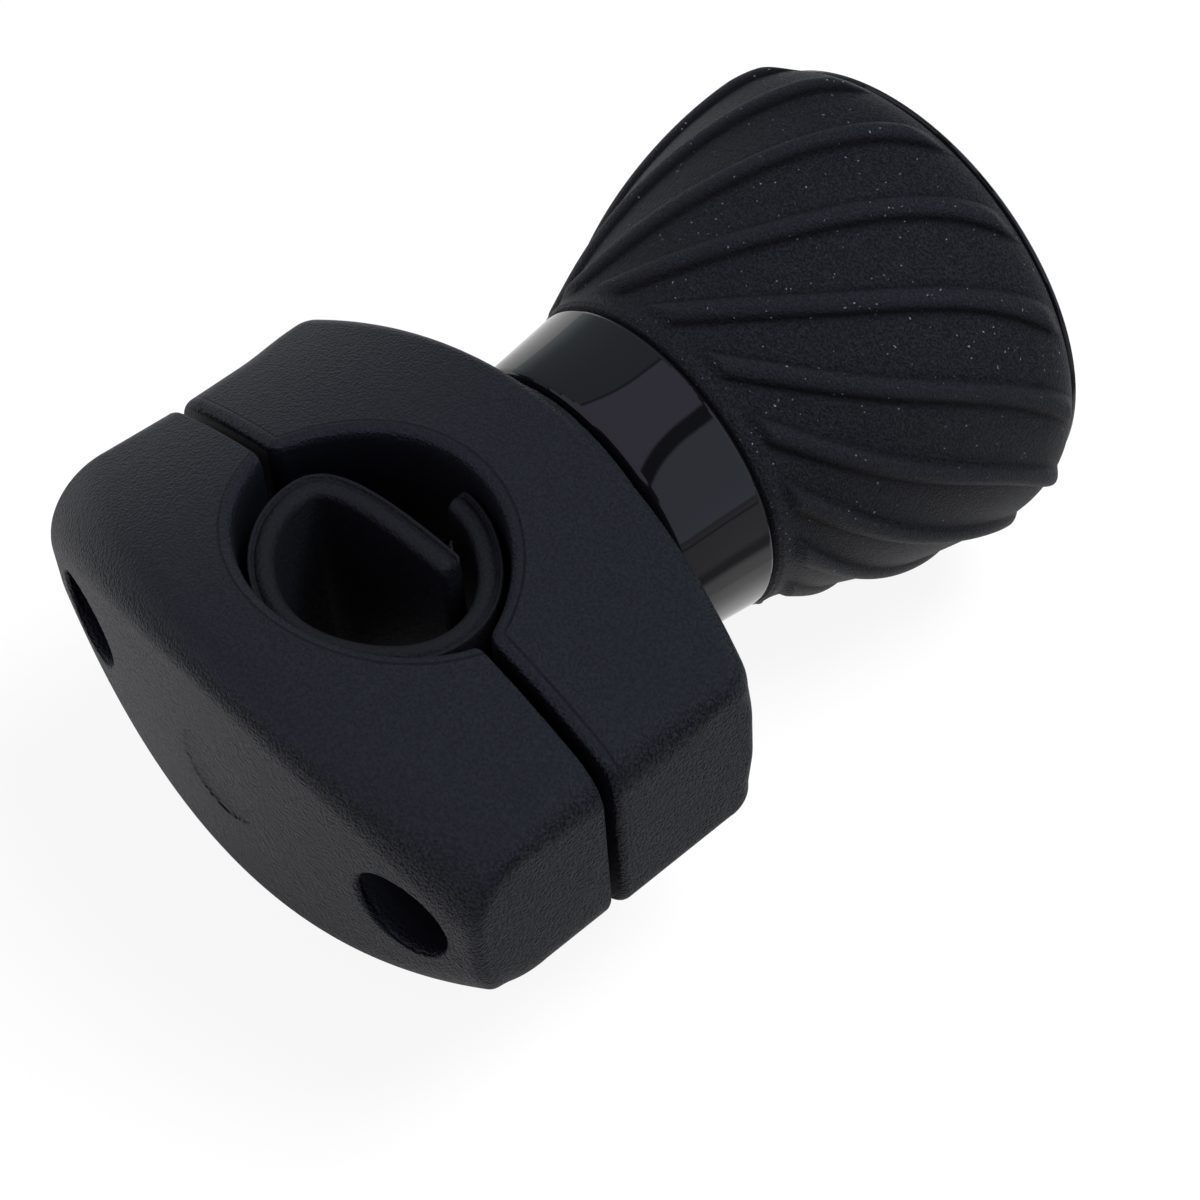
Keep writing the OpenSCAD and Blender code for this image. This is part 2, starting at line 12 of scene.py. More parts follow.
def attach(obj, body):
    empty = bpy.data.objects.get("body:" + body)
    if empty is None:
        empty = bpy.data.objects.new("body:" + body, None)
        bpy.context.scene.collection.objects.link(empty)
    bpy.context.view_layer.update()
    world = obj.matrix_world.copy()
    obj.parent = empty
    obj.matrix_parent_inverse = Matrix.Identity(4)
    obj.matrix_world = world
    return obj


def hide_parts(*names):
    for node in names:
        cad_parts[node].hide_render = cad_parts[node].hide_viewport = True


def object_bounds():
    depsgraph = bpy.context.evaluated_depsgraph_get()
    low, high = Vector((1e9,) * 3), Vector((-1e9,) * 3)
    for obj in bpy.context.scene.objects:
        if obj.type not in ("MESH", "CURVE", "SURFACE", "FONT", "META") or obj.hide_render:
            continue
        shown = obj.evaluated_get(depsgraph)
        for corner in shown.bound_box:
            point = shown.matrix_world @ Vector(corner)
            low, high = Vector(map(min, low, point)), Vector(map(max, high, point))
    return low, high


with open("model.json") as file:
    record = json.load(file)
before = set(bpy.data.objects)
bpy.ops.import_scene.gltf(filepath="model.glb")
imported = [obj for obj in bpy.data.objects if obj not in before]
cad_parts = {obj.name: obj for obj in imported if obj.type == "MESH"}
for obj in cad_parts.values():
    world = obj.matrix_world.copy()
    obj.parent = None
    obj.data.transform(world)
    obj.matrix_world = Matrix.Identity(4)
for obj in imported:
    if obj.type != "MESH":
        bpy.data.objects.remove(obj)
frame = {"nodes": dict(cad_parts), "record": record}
cad_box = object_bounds()
NODES = frame["nodes"]
MM = 0.001

# Camera, from the photograph's own perspective: its place and its axes
CAMERA_PLACE = (181.5283, -114.2285, 273.1575)
CAMERA_RIGHT = (0.672115, 0.738829, -0.048922)
CAMERA_DOWN = (0.558205, -0.548994, -0.622103)
CAMERA_FORWARD = (-0.486486, 0.390816, -0.781405)
CAMERA_LENS = 90.3
CAMERA_SENSOR = 36

# Sizes of the clamp, as in the part's source
CLAMP_HALF_W = 38.5
CLAMP_HALF_T = 21.7
CAP_DEPTH = 25.2
BASE_DEPTH = 27.0
FACE_R = 140.0
BACK_R = 136.0
CROWN_R = 86.0
HALF_GAP = 0.75
BORE_R = 19.6
BORE_OFFSET = 5.5
SCREW_X = 28.4
SCREW_HOLE_R = 3.3
HEAD_BORE_R = 6.0
HEAD_SEAT = 13.5
NUT_SEAT = 11.3
NUT_POCKET_AF = 10.1
RECESS_R = 6.25
RECESS_DEPTH = 0.09
RECESS_LINE = 0.07
BOSS_ROOT = 20.0
BOSS_Y = 28.45
BOSS_R = 19.6
SEAT_Y = 27.2
SEAT_R = 9.5
SPINDLE_HOLE_R = 4.2
HEAD_POCKET_AF = 13.2
HEAD_POCKET_Y = 19.7
BAND_W = 1.5

# Radii of the clamp's rounded edges. Front and back edges are (at the middle, added towards the ends), and
# the ends' lower edges are (on the cap, on the base)
FRONT_EDGE = (4.6, 6.2)
BACK_EDGE = (1.1, 3.2)
END_TOP_EDGE = 7.0
END_FRONT_EDGE = 1.8
END_LOWER_EDGE = (7.4, 4.8)
BORE_LIP = 1.5
CAP_PARTING_EDGE = 0.5
BASE_PARTING_EDGE = 1.2
HOLE_RIM = 0.6
RECESS_EDGE = 0.12
POCKET_EDGE = 0.3
BOSS_RIM = 0.35
BOSS_FOOT = 0.5

# How the softer edges of the ends fade in: (where from, over what length). The heights are up or down from
# the middle, the depths are in from the clamp's front or back face
UPPER_FADE = (4, 8)
LOWER_FADE = (1, 11)
MIDDLE_FADE = (0, 5)
UPPER_FRONT_FADE = (1, 17)
LOWER_FRONT_FADE = (1, 4)
UPPER_BACK_FADE = (4, 8)
LOWER_BACK_FADE = (1, 4)
PARTING_FADE = (-0.5, 1)
UPPER_BACK_SHARE = 0.5

# Limits of the clamp's distance field: where its front and back faces stop, the distance there, the
# sharpest meeting of two faces, and how far a screw hole reaches into its nut's pocket
FACES_OVERLAP = 5
FAR_INSIDE = -30.0
SHARPEST_COSINE = 0.98
HOLE_OVERLAP = 1

# The clamp's mesh: its cell, the room round it, and the steps and the least square of its slopes
CLAMP_CELL = 0.45
CLAMP_ROOM = 1
SLOPE_STEP = 0.02
NORMAL_STEP = 0.06
LEAST_SLOPE = 0.3
# The coarse grain lies on what faces up or down less than this, growing over this, and down to this depth
COARSE_LEAN = (0.85, 0.6)
COARSE_DEPTH = 1.2

# Grip: its profile as (height along the spindle, radius) on two curves, and its ribs
GRIP_FLANK = ((41.8, 21.6), (48.33, 21.6), (54.12, 28.93), (76.48, 31.9))
GRIP_SHOULDER = ((76.48, 31.9), (79.48, 32.1), (81.8, 31.2), (82.6, 29.9))
GRIP_INNER_STEP = 2.4
# The profile's start is rolled in this much, over this length
GRIP_ROLL = (0.35, 0.7)
RIB_COUNT = 15
RIB_H = 1.0
RIB_W = 2.9
RIB_REACH = 1.15
RIB_FLATNESS = 0.65
# A rib's turn in degrees, its start, and shares of the turn that grow with the way, its square and its cube
RIB_TURN = 78.5
RIB_START = -13.3
RIB_COURSE = (2.09, -2.46, 1.37)
# Shares of the way along the grip: (where a rib starts, over what length), and the same for its end
RIB_FADE_IN = (0.045, 0.032)
RIB_FADE_OUT = (0.985, 0.07)
# Painted shade at the ribs' feet, in half widths from the rib's middle: (place, width on the near side,
# width on the far side, strength on the far side)
RIB_FOOT = (0.95, 0.32, 0.3, 0.4)
RIB_COLUMNS = 26
VALLEY_COLUMNS = 10
FLANK_RINGS = 110
SHOULDER_RINGS = 30

# Strip in the bore
STRIP_HALF_H = 17.0
STRIP_EDGE = 0.8
STRIP_EDGE_STEPS = 7
# Its top from the outer to the inner side, as (place across, depth below the top)
STRIP_TOP = ((1.5, 0.5), (1.5, 0.12), (1.42, 0.02), (1.3, 0.0), (1.18, 0.03), (1.08, 0.15), (0.98, 0.38),
             (0.86, 0.5), (0.74, 0.42), (0.62, 0.28), (0.45, 0.14), (0.2, 0.04), (-0.1, 0.0), (-0.45, 0.03),
             (-0.8, 0.15), (-1.1, 0.36), (-1.32, 0.64), (-1.45, 0.95), (-1.5, 1.3))
COIL_R = 12.3
COIL_DEGREES = (93, -183, -3)
COIL_BULGE_LEFT = 1.4
COIL_BULGE_RIGHT = 2.3
STRIP_BEND = ((-13.7, 0.0), (-13.9, 3.8), (-9.73, 5.54), (7.01, 5.54))
BEND_POINTS = 48

# Disc on the end: its underside and edge along the spindle, its radius, and how far it domes
DISC_Y = (83.2, 83.6)
DISC_R = 27.0
DISC_RISE = 1.0
DISC_EDGE = 0.15
DISC_EDGE_STEPS = 5
DISC_MIDDLE_R = 0.6
DISC_RINGS = 24
DISC_COLUMNS = 144

# The neck falls off softly towards the clamp, from this place along the spindle in metres, and by this much
# times the cube of the way from there
NECK_FALL_FROM = 0.0375
NECK_FALL = 800.0
NECK_WAVE = 0.00002

# The sky's level, its dim stretches as (place along X, lean with Y, half width, softness, depth), and its
# tints as (place along X, lean with Y, colour beyond it)
SKY_LEVEL = 0.48
SKY_LINES = ((-0.41, 0.6, 0.006, 0.02, 0.25), (0.61, -0.6, 0.06, 0.04, 0.06))
SKY_FIRST_TINT = (0.56, 0.64, 0.66)
SKY_TINTS = ((-0.41, 0.6, (1.2, 1.14, 1.5)), (0.61, -0.6, (1.1, 1.22, 1.5)))

# The floor for what mirrors it: its level as (place along X in metres, level), and how far its painted
# shadow under the bore reaches, in metres
FLOOR_STRIPES = ((0.0, 1.0), (0.025, 1.0), (0.04, 0.62), (0.058, 0.62), (0.066, 0.05), (0.076, 0.05),
                 (0.09, 0.3), (0.36, 0.3), (0.38, 0.03), (0.47, 0.03), (0.49, 0.28))
STRIPES_LENGTH = 0.5
CONTACT_REACH = (0.018, 0.04)
FLOOR_HALF = 6.0
FLOOR_GAP = 0.0003
FLOOR_COLOUR = (0.9, 0.9, 0.9, 1)
FLOOR_GLOW = 0.9

# The lamp, in metres and watts
LAMP_PLACE = (0.24, 0.36, 0.73)
LAMP_TARGET = (0, 0.02, 0)
LAMP_SIZE = 0.4
LAMP_POWER = 9.0


def smooth_step(x):
    c = np.clip(x, 0.0, 1.0)
    return c * c * (3.0 - 2.0 * c)


def faded(value, fade):
    """From 0 to 1 while the value grows over a length from a start."""
    start, length = fade
    return smooth_step((value - start) / length)


def bell(x, middle, width):
    return np.exp(-((x - middle) / width) ** 2)


def bezier(curve, t):
    a, b, c, d = [np.array(point) for point in curve]
    t = np.asarray(t)[:, None]
    return (1 - t) ** 3 * a + 3 * t * (1 - t) ** 2 * b + 3 * t * t * (1 - t) * c + t ** 3 * d


def mesh_object(name, points, faces, normals=None):
    """A smooth-shaded mesh from points in millimetres."""
    mesh = bpy.data.meshes.new(name)
    mesh.from_pydata((np.asarray(points) * MM).tolist(), [], faces)
    mesh.update()
    mesh.polygons.foreach_set("use_smooth", [True] * len(mesh.polygons))
    if normals is not None:
        mesh.normals_split_custom_set_from_vertices(np.asarray(normals).tolist())
    obj = bpy.data.objects.new(name, mesh)
    bpy.context.scene.collection.objects.link(obj)
    return obj


def float_attribute(obj, name, values):
    layer = obj.data.attributes.new(name, "FLOAT", "POINT")
    layer.data.foreach_set("value", np.asarray(values, np.float32))


def skin(rings, columns, flip=False):
    """Quads between neighbouring rings of points, each ring closed on itself."""
    quads = []
    for i in range(rings - 1):
        for j in range(columns):
            k = (j + 1) % columns
            near = i * columns
            far = near + columns
            around = (near + j, near + k, far + k, far + j)
            quads.append((near + j, far + j, far + k, near + k) if flip else around)
    return quads


# Distance fields. Each gives the distance to a solid, negative inside, for points in millimetres

def round_cut(a, b, radius):
    """Where two solids meet at about a right angle, with the edge rounded off."""
    corner = np.sqrt(np.maximum(a + radius, 0) ** 2 + np.maximum(b + radius, 0) ** 2)
    return np.minimum(-radius, np.maximum(a, b)) + corner


def round_meet(first, second, radius):
    """Where two solids meet at any angle: each is (distance, outward direction)."""
    (a, out_a), (b, out_b) = first, second
    cosine = np.clip((out_a * out_b).sum(-1), -SHARPEST_COSINE, SHARPEST_COSINE)
    u = a + radius
    w = b + radius
    share_a = (u - cosine * w) / (1 - cosine ** 2)
    share_b = (w - cosine * u) / (1 - cosine ** 2)
    arm = share_a[..., None] * out_a + share_b[..., None] * out_b
    reach = np.sqrt((arm * arm).sum(-1))
    on_edge = (share_a > 0) & (share_b > 0)
    out = np.where((a > b)[..., None], out_a, out_b)
    out = np.where(on_edge[..., None], arm / np.maximum(reach, 1e-9)[..., None], out)
    return np.where(on_edge, reach - radius, np.maximum(a, b)), out


def round_join(a, b, radius):
    """Two solids grown together, with a fillet in the corner between them."""
    corner = np.sqrt(np.maximum(radius - a, 0) ** 2 + np.maximum(radius - b, 0) ** 2)
    return np.maximum(radius, np.minimum(a, b)) - corner


def bowed_face(x, y, centre_y, radius, wanted):
    """A face bowed about an upright line, with its outward direction."""
    reach = np.sqrt(x ** 2 + (y - centre_y) ** 2)
    out = np.stack([x / reach, (y - centre_y) / reach, np.zeros_like(x)], -1)
    return np.where(wanted, reach - radius, FAR_INSIDE), out


def end_edge(y, z, front, back):
    """Radius of the ends' upper and lower edges: softer than their corners, and straighter below."""
    above = faded(z, UPPER_FADE)
    below = faded(-z, LOWER_FADE)
    upper_back = faded(-back, UPPER_BACK_FADE)
    lower_back = faded(-back, LOWER_BACK_FADE)
    start, length = UPPER_FRONT_FADE
    inner = np.clip((-front - start) / length, 0, 1)
    inner = inner * (upper_back + (1 - upper_back) * UPPER_BACK_SHARE * above)
    lower_inner = faded(-front, LOWER_FRONT_FADE) * (lower_back + (1 - lower_back) * below)
    lower_edge = END_LOWER_EDGE[0] + (END_LOWER_EDGE[1] - END_LOWER_EDGE[0]) * faded(y, PARTING_FADE)
    upper = (END_TOP_EDGE - END_FRONT_EDGE) * inner
    lower = (lower_edge - END_FRONT_EDGE) * lower_inner
    return END_FRONT_EDGE + upper + (lower - upper) * faded(-z, MIDDLE_FADE)


def clamp_outside(p):
    """Bowed front and back, arched top and bottom, flat ends, and roundings that widen towards the ends."""
    x = np.abs(p[..., 0])
    y = p[..., 1]
    flat = np.zeros_like(x)
    lift = np.abs(p[..., 2]) + CROWN_R - CLAMP_HALF_T
    arch = np.sqrt(x ** 2 + lift ** 2)
    top = (arch - CROWN_R, np.stack([x / arch, flat, lift / arch], -1))
    end = (x - CLAMP_HALF_W, np.stack([flat + 1, flat, flat], -1))
    front = bowed_face(x, y, FACE_R - CAP_DEPTH, FACE_R, y < FACES_OVERLAP)
    back = bowed_face(x, y, BASE_DEPTH - BACK_R, BACK_R, y > -FACES_OVERLAP)
    outward = (x / CLAMP_HALF_W) ** 2
    body = round_meet(top, front, FRONT_EDGE[0] + FRONT_EDGE[1] * outward)
    body = round_meet(body, back, BACK_EDGE[0] + BACK_EDGE[1] * outward)
    return round_meet(body, end, end_edge(y, p[..., 2], front[0], back[0]))[0]


def hexagon(a, b, across):
    slant = math.cos(math.radians(30)) * np.abs(a) + 0.5 * np.abs(b)
    return np.maximum(slant, np.abs(b)) - across / 2


def cap_distance(p):
    """Front half: the bore's half, two counterbored screw holes, and a shallow recess inside a line."""
    x, y, z = p[..., 0], p[..., 1], p[..., 2]
    bore = BORE_R - np.hypot(x, y - BORE_OFFSET)
    d = round_cut(clamp_outside(p), bore, BORE_LIP)
    d = round_cut(d, y + HALF_GAP, CAP_PARTING_EDGE)
    from_screw = np.hypot(np.abs(x) - SCREW_X, z)
    head_bore = np.maximum(from_screw - HEAD_BORE_R, y + HEAD_SEAT)
    d = round_cut(d, -np.minimum(head_bore, from_screw - SCREW_HOLE_R), HOLE_RIM)
    floor_y = RECESS_DEPTH - CAP_DEPTH + RECESS_R ** 2 / (2 * FACE_R)
    from_middle = np.hypot(x, z)
    recess = np.maximum(from_middle - RECESS_R, y - floor_y)
    from_line = np.abs(from_middle - RECESS_R + RECESS_LINE) - RECESS_LINE
    line = np.maximum(from_line, y - floor_y - RECESS_LINE)
    return round_cut(d, -np.minimum(recess, line), RECESS_EDGE)


def base_distance(p):
    """Rear half: the bore's half, the boss with its seat, nut pockets, and room for the spindle."""
    x, y, z = p[..., 0], p[..., 1], p[..., 2]
    bore = BORE_R - np.hypot(x, y + BORE_OFFSET)
    boss = np.maximum(round_cut(np.hypot(x, z) - BOSS_R, y - BOSS_Y, BOSS_RIM), BOSS_ROOT - y)
    d = round_cut(round_join(clamp_outside(p), boss, BOSS_FOOT), bore, BORE_LIP)
    d = round_cut(d, HALF_GAP - y, BASE_PARTING_EDGE)
    side = np.abs(x) - SCREW_X
    pocket = np.maximum(hexagon(side, z, NUT_POCKET_AF), NUT_SEAT - y)
    screw_hole = np.maximum(np.hypot(side, z) - SCREW_HOLE_R, y - NUT_SEAT - HOLE_OVERLAP)
    d = round_cut(d, -np.minimum(pocket, screw_hole), POCKET_EDGE)
    from_spindle = np.hypot(x, z)
    seat = np.maximum(from_spindle - SEAT_R, SEAT_Y - y)
    head_pocket = np.maximum(hexagon(x, z, HEAD_POCKET_AF), y - HEAD_POCKET_Y)
    spindle = np.minimum(np.minimum(seat, head_pocket), from_spindle - SPINDLE_HOLE_R)
    return round_cut(d, -spindle, POCKET_EDGE)


def field_gradient(field, p, step=SLOPE_STEP):
    grad = np.zeros_like(p)
    for axis in range(3):
        shift = np.zeros(3)
        shift[axis] = step
        grad[:, axis] = (field(p + shift) - field(p - shift)) / (2 * step)
    return grad


# Mesh of a distance field

def surface_net(field, low, high, cell):
    """One point in each grid cell that the surface crosses, and a quad across each grid edge it crosses."""
    axes = [np.arange(a, b + cell, cell) for a, b in zip(low, high)]
    grid = np.stack(np.meshgrid(*axes, indexing="ij"), -1)
    value = np.stack([field(sheet) for sheet in grid])
    inside = value < 0
    count = np.zeros([n - 1 for n in value.shape], np.int8)
    corners = [(i, j, k) for i in (0, 1) for j in (0, 1) for k in (0, 1)]
    for i, j, k in corners:
        count += inside[i:i + count.shape[0], j:j + count.shape[1], k:k + count.shape[2]]
    cells = np.argwhere((count > 0) & (count < len(corners)))
    points = net_points(cells, corners, grid, value)
    number = np.full(count.shape, -1, np.int64)
    number[tuple(cells.T)] = np.arange(len(cells))
    return points, np.concatenate([net_quads(axis, inside, number) for axis in range(3)])


def net_points(cells, corners, grid, value):
    """In each cell, the middle of the places where the surface crosses the cell's edges."""
    total = np.zeros((len(cells), 3))
    hits = np.zeros(len(cells))
    for start in corners:
        for axis in range(3):
            if start[axis] == 1:
                continue
            end = list(start)
            end[axis] = 1
            from_node = tuple((cells + start).T)
            to_node = tuple((cells + end).T)
            a = value[from_node]
            b = value[to_node]
            crossed = (a < 0) != (b < 0)
            share = np.where(crossed, a / np.where(crossed, a - b, 1), 0)
            place = grid[from_node] + share[:, None] * (grid[to_node] - grid[from_node])
            total += np.where(crossed[:, None], place, 0)
            hits += crossed
    return total / hits[:, None]


def net_quads(axis, inside, number):
    """A quad across each crossed grid edge along an axis, through the four cells round that edge."""
    one, two = [a for a in range(3) if a != axis]
    ahead = np.zeros(3, int)
    ahead[axis] = 1
    shape = np.array(inside.shape)
    shape[axis] -= 1
    near = inside[tuple(slice(0, n) for n in shape)]
    far = inside[tuple(slice(a, a + n) for a, n in zip(ahead, shape))]
    edges = np.argwhere(near != far)
    edges = edges[(edges[:, one] > 0) & (edges[:, two] > 0)]
    leaving = near[tuple(edges.T)]
    ring = []
    for back_one, back_two in ((1, 1), (0, 1), (0, 0), (1, 0)):
        cell_at = edges.copy()
        cell_at[:, one] -= back_one
        cell_at[:, two] -= back_two
        ring.append(number[tuple(cell_at.T)])
    ring = np.stack(ring, 1)
    turn = leaving if axis != 1 else ~leaving
    return np.where(turn[:, None], ring, ring[:, ::-1])


def evened(points, links):
    """Points moved half the way to the middle of their neighbours."""
    total = np.zeros_like(points)
    count = np.zeros(len(points))
    for a, b in ((0, 1), (1, 0)):
        np.add.at(total, links[:, a], points[links[:, b]])
        np.add.at(count, links[:, a], 1)
    return 0.5 * points + 0.5 * total / count[:, None]


def drawn(points, field):
    """Points drawn onto the surface in two steps."""
    for _ in range(2):
        grad = field_gradient(field, points)
        size = np.maximum((grad * grad).sum(1), LEAST_SLOPE)
        points = points - (field(points) / size)[:, None] * grad
    return points


def relaxed(points, quads, field):
    """Points evened out along the surface and drawn onto it, twice, and drawn once more."""
    links = np.concatenate([quads[:, [0, 1]], quads[:, [1, 2]], quads[:, [2, 3]], quads[:, [3, 0]]])
    for _ in range(2):
        points = drawn(evened(points, links), field)
    return drawn(points, field)


# Clamp

def clamp_half(name, field, low_y, high_y):
    """A half's mesh with its normals, and how deep each point lies and how coarse its grain is."""
    low = (-CLAMP_HALF_W - CLAMP_ROOM, low_y - CLAMP_ROOM, -CLAMP_HALF_T - CLAMP_ROOM)
    high = (CLAMP_HALF_W + CLAMP_ROOM, high_y + CLAMP_ROOM, CLAMP_HALF_T + CLAMP_ROOM)
    points, quads = surface_net(field, low, high, CLAMP_CELL)
    points = relaxed(points, quads, field)
    normals = field_gradient(field, points, NORMAL_STEP)
    normals /= np.maximum(np.linalg.norm(normals, axis=1), 1e-9)[:, None]
    obj = mesh_object(name, points, quads.tolist(), normals)
    depth = np.maximum(-clamp_outside(points), 0)
    steepest, span = COARSE_LEAN
    coarse = smooth_step((steepest - np.abs(normals[:, 2])) / span) * smooth_step(COARSE_DEPTH - depth)
    float_attribute(obj, "depth", depth)
    float_attribute(obj, "coarse", coarse)
    return obj, points


def clamp_cap():
    obj, points = clamp_half("clamp_cap_fine", cap_distance, -CAP_DEPTH, -HALF_GAP)
    band = np.hypot(points[:, 0], points[:, 1] - BORE_OFFSET) - BORE_R - BAND_W
    float_attribute(obj, "band", band)
    return obj


def clamp_base():
    obj, points = clamp_half("clamp_base_fine", base_distance, HALF_GAP, BOSS_Y)
    round_bore = np.hypot(points[:, 0], points[:, 1] + BORE_OFFSET) - BORE_R
    band = np.minimum(round_bore, points[:, 1] - HALF_GAP) - BAND_W
    float_attribute(obj, "band", band)
    return obj


# Grip

def rib_foot(widths, to_next, rise):
    """Painted shade at the ribs' feet: how close each point is to a rib's foot, on both sides of the rib and
    before the next one.
    """
    place, near_w, far_w, far_share = RIB_FOOT
    foot = bell(widths, place, near_w) + far_share * bell(widths, -place, far_w)
    return (foot + far_share * bell(to_next, -place, far_w)) * rise[:, None] / RIB_H


def turned_in(ring, y):
    """A copy of a ring further in, at a height along the spindle."""
    edge_r = np.hypot(ring[:, 0], ring[:, 2]) - GRIP_INNER_STEP
    outer_r = edge_r + GRIP_INNER_STEP
    height = np.full(len(ring), y)
    return np.stack([edge_r * ring[:, 0] / outer_r, height, edge_r * ring[:, 2] / outer_r], -1)


def grip_sleeve():
    """Flared skin with spiral ribs, a rolled edge at the neck and a lip that turns in at the outer end."""
    flank = bezier(GRIP_FLANK, np.linspace(0, 1, FLANK_RINGS))
    shoulder = bezier(GRIP_SHOULDER, np.linspace(0, 1, SHOULDER_RINGS)[1:])
    height, radius = np.concatenate([flank, shoulder]).T
    along = (height - height[0]) / (height[-1] - height[0])
    turn = RIB_TURN * sum(share * along ** (i + 1) for i, share in enumerate(RIB_COURSE)) + RIB_START
    rib_end, end_span = RIB_FADE_OUT
    rise = RIB_H * faded(along, RIB_FADE_IN) * smooth_step((rib_end - along) / end_span)
    step = np.hypot(np.gradient(height), np.gradient(radius))
    slant = np.gradient(np.radians(turn)) * radius / step
    pitch = 2 * math.pi * radius / RIB_COUNT
    half = RIB_W / 2 * np.sqrt(1 + slant ** 2)
    # Places across one pitch: over the rib, then over the valley
    on_rib = np.linspace(-RIB_REACH, RIB_REACH, RIB_COLUMNS + 1)
    in_valley = np.arange(1, VALLEY_COLUMNS) / VALLEY_COLUMNS
    over_rib = half[:, None] * on_rib[None, :]
    valley_w = pitch - 2 * RIB_REACH * half
    over_valley = (RIB_REACH * half)[:, None] + valley_w[:, None] * in_valley[None, :]
    across = np.concatenate([over_rib, over_valley], 1)
    section = np.concatenate([np.clip(1 - on_rib ** 2, 0, 1) ** RIB_FLATNESS, np.zeros(len(in_valley))])
    widths = across / half[:, None]
    # Painted shade along the ribs' feet, and a painted highlight along their crests
    foot = rib_foot(widths, widths - (pitch / half)[:, None], rise)
    crest_highlight = section[None, :] * rise[:, None] / RIB_H
    # The same all round, once for each rib
    turns = np.concatenate([across / pitch[:, None] + rib for rib in range(RIB_COUNT)], 1)
    angle = np.radians(360 * turns / RIB_COUNT + turn[:, None])
    roll_depth, roll_length = GRIP_ROLL
    roll = roll_depth * (1 - smooth_step((height - height[0]) / roll_length))
    ribbed = (radius - roll)[:, None] + np.tile(section, RIB_COUNT)[None, :] * rise[:, None]
    along_spindle = np.broadcast_to(height[:, None], ribbed.shape)
    rings = np.stack([ribbed * np.sin(angle), along_spindle, ribbed * np.cos(angle)], -1)
    start = turned_in(rings[0], height[0])
    end = turned_in(rings[-1], height[-1])
    rings = np.concatenate([start[None], rings, end[None]])
    obj = mesh_object("grip_fine", rings.reshape(-1, 3), skin(len(rings), rings.shape[1]))
    for name, values in (("foot", foot), ("crest_highlight", crest_highlight)):
        float_attribute(obj, name, np.pad(np.tile(values, (1, RIB_COUNT)), ((1, 1), (0, 0))).ravel())
    return obj


# Disc on the end

def face_disc():
    """Shallow dome with a fine rounded edge and a closed underside."""
    under_y, edge_y = DISC_Y
    dome_r = (DISC_R ** 2 + DISC_RISE ** 2) / (2 * DISC_RISE)
    edge = [(DISC_R - DISC_EDGE * (1 - math.cos(a)), edge_y - DISC_EDGE * (1 - math.sin(a)))
            for a in np.linspace(0, math.pi / 2, DISC_EDGE_STEPS)]
    dome = [(r, edge_y + DISC_RISE - dome_r + math.sqrt(dome_r ** 2 - r ** 2))
            for r in np.linspace(DISC_R - DISC_EDGE, DISC_MIDDLE_R, DISC_RINGS)[1:]]
    profile = [(DISC_R, under_y)] + edge + dome
    angles = np.radians(np.arange(DISC_COLUMNS) * 360 / DISC_COLUMNS)
    rings = [np.stack([r * np.sin(angles), np.full(DISC_COLUMNS, y), r * np.cos(angles)], -1)
             for r, y in profile]
    last = (len(rings) - 1) * DISC_COLUMNS
    middle = tuple(range(last, last + DISC_COLUMNS))
    underside = tuple(range(DISC_COLUMNS - 1, -1, -1))
    faces = skin(len(rings), DISC_COLUMNS) + [middle, underside]
    return mesh_object("face_disc_fine", np.concatenate(rings), faces)


# Strip

def strip_route():
    """Centre line of the coiled strip, clockwise from its outer end to its inner tip."""
    angles = np.radians(np.arange(*COIL_DEGREES))
    bulge = np.where(np.cos(angles) > 0, COIL_BULGE_RIGHT, COIL_BULGE_LEFT)
    reach = COIL_R + bulge * np.cos(angles) ** 4
    coil = np.stack([reach * np.cos(angles), reach * np.sin(angles)], 1)
    return np.concatenate([coil, bezier(STRIP_BEND, np.linspace(0, 1, BEND_POINTS)[1:])])


def strip_section():
    """The strip's outline as (place across, height), all the way round, with a fine outer lip."""
    top = [(s, STRIP_HALF_H - drop) for s, drop in STRIP_TOP]
    return np.array(top + [(s, -z) for s, z in reversed(top)])


def pulled_in(values, inset):
    return np.sign(values) * np.maximum(np.abs(values) - inset, 0)


def rounded_end(place, ahead, across, sign):
    """Stations from a tip inwards, as (place, direction across, how far the outline is pulled in)."""
    stations = []
    for a in np.linspace(0, math.pi / 2, STRIP_EDGE_STEPS)[:-1]:
        along = (1 - math.cos(a)) * STRIP_EDGE
        stations.append((place + sign * along * ahead, across, (1 - math.sin(a)) * STRIP_EDGE))
    return stations


def rim_liner():
    """The strip, with its edges rounded along its length and round both ends."""
    route = strip_route()
    ahead = np.gradient(route, axis=0)
    ahead /= np.linalg.norm(ahead, axis=1)[:, None]
    side = np.stack([-ahead[:, 1], ahead[:, 0]], 1)
    start = rounded_end(route[0], ahead[0], side[0], 1)
    end = rounded_end(route[-1], ahead[-1], side[-1], -1)
    between = []
    for place, across in zip(route, side):
        if min(np.linalg.norm(place - route[0]), np.linalg.norm(place - route[-1])) >= STRIP_EDGE:
            between.append((place, across, 0.0))
    section = strip_section()
    rings = []
    for place, across, inset in start + between + end[::-1]:
        flat = pulled_in(section[:, 0], inset)
        high = pulled_in(section[:, 1], inset)
        rings.append(np.stack([place[0] + flat * across[0], place[1] + flat * across[1], high], 1))
    n = len(section)
    points = np.concatenate(rings)
    first = tuple(range(n))
    last = tuple(range(len(points) - 1, len(points) - n - 1, -1))
    obj = mesh_object("rim_liner_fine", points, skin(len(rings), n, flip=True) + [first, last])
    float_attribute(obj, "depth", STRIP_HALF_H - np.abs(points[:, 2]))
    return obj


# Finishes

def srgb(*values):
    """A colour from its display values, 0 to 255."""
    return tuple((v / 255 / 12.92) if v <= 10.3 else ((v / 255 + 0.055) / 1.055) ** 2.4 for v in values)


def tinted(colour, share):
    return tuple(share * c for c in colour)


